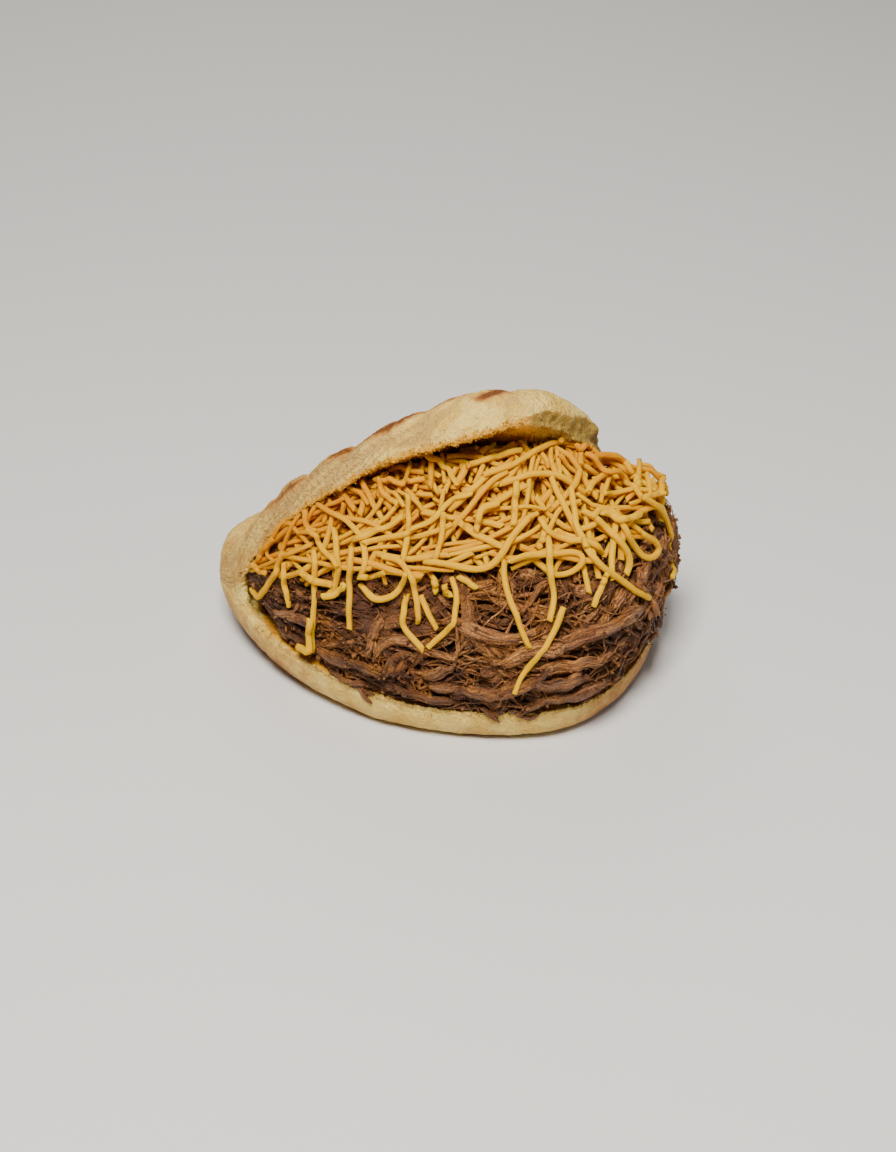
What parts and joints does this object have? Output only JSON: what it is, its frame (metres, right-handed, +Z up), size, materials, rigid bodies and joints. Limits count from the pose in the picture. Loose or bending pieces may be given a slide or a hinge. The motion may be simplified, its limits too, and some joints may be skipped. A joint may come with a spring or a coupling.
{
  "type": "stuffed arepa",
  "caption": "Round corn bread split and folded open like a pocket, filled with shredded beef under a heap of grated cheese.",
  "frame": {"origin": "on the flat underside of the bread, below the middle of its fold", "axes": "+Z up through the lid, +X along the fold of the bread towards the torn corner of the lid, -Y out of the mouth of the pocket"},
  "size_m": [0.1209, 0.12, 0.0828],
  "materials": {
    "bread": "matt, pale yellow baked corn dough with toasted spots",
    "beef": "moist, brown pulled meat",
    "cheese": "soft satin, yellow-orange grated cheese"
  },
  "bodies": {
    "root": {"arepa_bread": "bread", "shredded_beef": "beef", "shredded_cheese": "cheese"}
  },
  "joints": []
}
